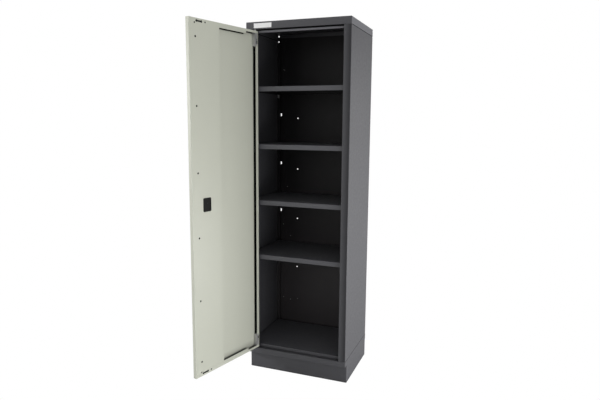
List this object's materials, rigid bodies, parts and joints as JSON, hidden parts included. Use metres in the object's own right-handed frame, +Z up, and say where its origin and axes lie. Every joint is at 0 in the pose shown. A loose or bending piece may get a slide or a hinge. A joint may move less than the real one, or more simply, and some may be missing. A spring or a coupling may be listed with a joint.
{
  "type": "tool chest side locker",
  "caption": "Tall free-standing steel locker: folded carcass on a set-back plinth, inset full-height door on sprung hinge pins, clip-hung shelves, turn handle driving lock rods.",
  "frame": {"origin": "on the floor, midway between the carcass sides and between its front and back faces", "axes": "+X to the right seen from the front, +Y towards the back panel, +Z up"},
  "size_m": [0.6854, 0.9353, 2],
  "materials": {
    "carcass_paint": "fine-textured powder coat, satin anthracite grey",
    "door_paint": "fine-textured powder coat, satin light grey",
    "zinc_plate": "bright zinc plate",
    "dark_steel": "blackened screws",
    "black_plastic": "moulded, lightly grained",
    "grey_plastic": "moulded nylon",
    "lock_metal": "polished nickel"
  },
  "bodies": {
    "cabinet": {"lid": "carcass_paint", "lintel_rail": "carcass_paint", "side_panel_left": "carcass_paint", "side_panel_right": "carcass_paint", "rear_post_left": "carcass_paint", "rear_post_right": "carcass_paint", "back_panel": "carcass_paint", "back_panel_rivets": "zinc_plate", "base_tray": "carcass_paint", "floor_panel": "carcass_paint", "plinth_frame": "carcass_paint", "plinth_bolts": "zinc_plate", "plinth_nuts": "zinc_plate", "shelf_1": "carcass_paint", "shelf_2": "carcass_paint", "shelf_3": "carcass_paint", "shelf_4": "carcass_paint", "shelf_clips_1": "zinc_plate", "shelf_clips_2": "zinc_plate", "shelf_clips_3": "zinc_plate", "shelf_clips_4": "zinc_plate", "hinge_washer": "zinc_plate"},
    "door": {"door_skin": "door_paint", "lock_channel": "door_paint", "hinge_bracket_upper": "zinc_plate", "hinge_bracket_lower": "zinc_plate", "hinge_spring_upper": "zinc_plate", "hinge_spring_lower": "zinc_plate", "rod_guide_upper": "grey_plastic", "rod_guide_lower": "grey_plastic", "rod_guide_screws": "dark_steel", "lock_case": "zinc_plate", "lock_cover": "black_plastic", "lock_screws": "dark_steel", "handle_plate": "black_plastic"},
    "upper_pin": {"hinge_pin_upper": "zinc_plate", "hinge_clip_upper": "zinc_plate"},
    "lower_pin": {"hinge_pin_lower": "zinc_plate", "hinge_clip_lower": "zinc_plate"},
    "handle": {"turn_handle": "black_plastic", "rod_driver": "zinc_plate"},
    "key": {"key_plug": "lock_metal"},
    "upper_bolt": {"upper_rod": "zinc_plate"},
    "lower_bolt": {"lower_rod": "zinc_plate"}
  },
  "joints": [
    {"name": "door_swing", "type": "hinge", "parent": "cabinet", "child": "door", "pos_m": [-0.248, -0.2185, 1.05], "axis": [0, 0, 1], "range_deg": [-8, 104]},
    {"name": "upper_pin_slide", "type": "slide", "parent": "door", "child": "upper_pin", "axis": [0, 0, -1], "range_m": [0, 0.015], "stiffness_N_per_m": 800, "springref_m": -0.008, "deforming": ["hinge_spring_upper"]},
    {"name": "lower_pin_slide", "type": "slide", "parent": "door", "child": "lower_pin", "axis": [0, 0, 1], "range_m": [0, 0.015], "stiffness_N_per_m": 800, "springref_m": -0.008, "deforming": ["hinge_spring_lower"]},
    {"name": "handle_turn", "type": "hinge", "parent": "door", "child": "handle", "pos_m": [-0.35823, -0.60481, 1.044], "axis": [-0.9703, 0.2419, 0], "range_deg": [0, 90]},
    {"name": "key_turn", "type": "hinge", "parent": "handle", "child": "key", "pos_m": [-0.35823, -0.60481, 1.044], "axis": [-0.9703, 0.2419, 0], "range_deg": [0, 90]},
    {"name": "upper_rod_slide", "type": "slide", "parent": "door", "child": "upper_bolt", "axis": [0, 0, 1], "range_m": [0, 0.018]},
    {"name": "lower_rod_slide", "type": "slide", "parent": "door", "child": "lower_bolt", "axis": [0, 0, -1], "range_m": [0, 0.018]}
  ],
  "couplings": [
    {"joint": "upper_rod_slide", "follows": "handle_turn", "m_per_rad": 0.011459},
    {"joint": "lower_rod_slide", "follows": "handle_turn", "m_per_rad": 0.011459}
  ]
}
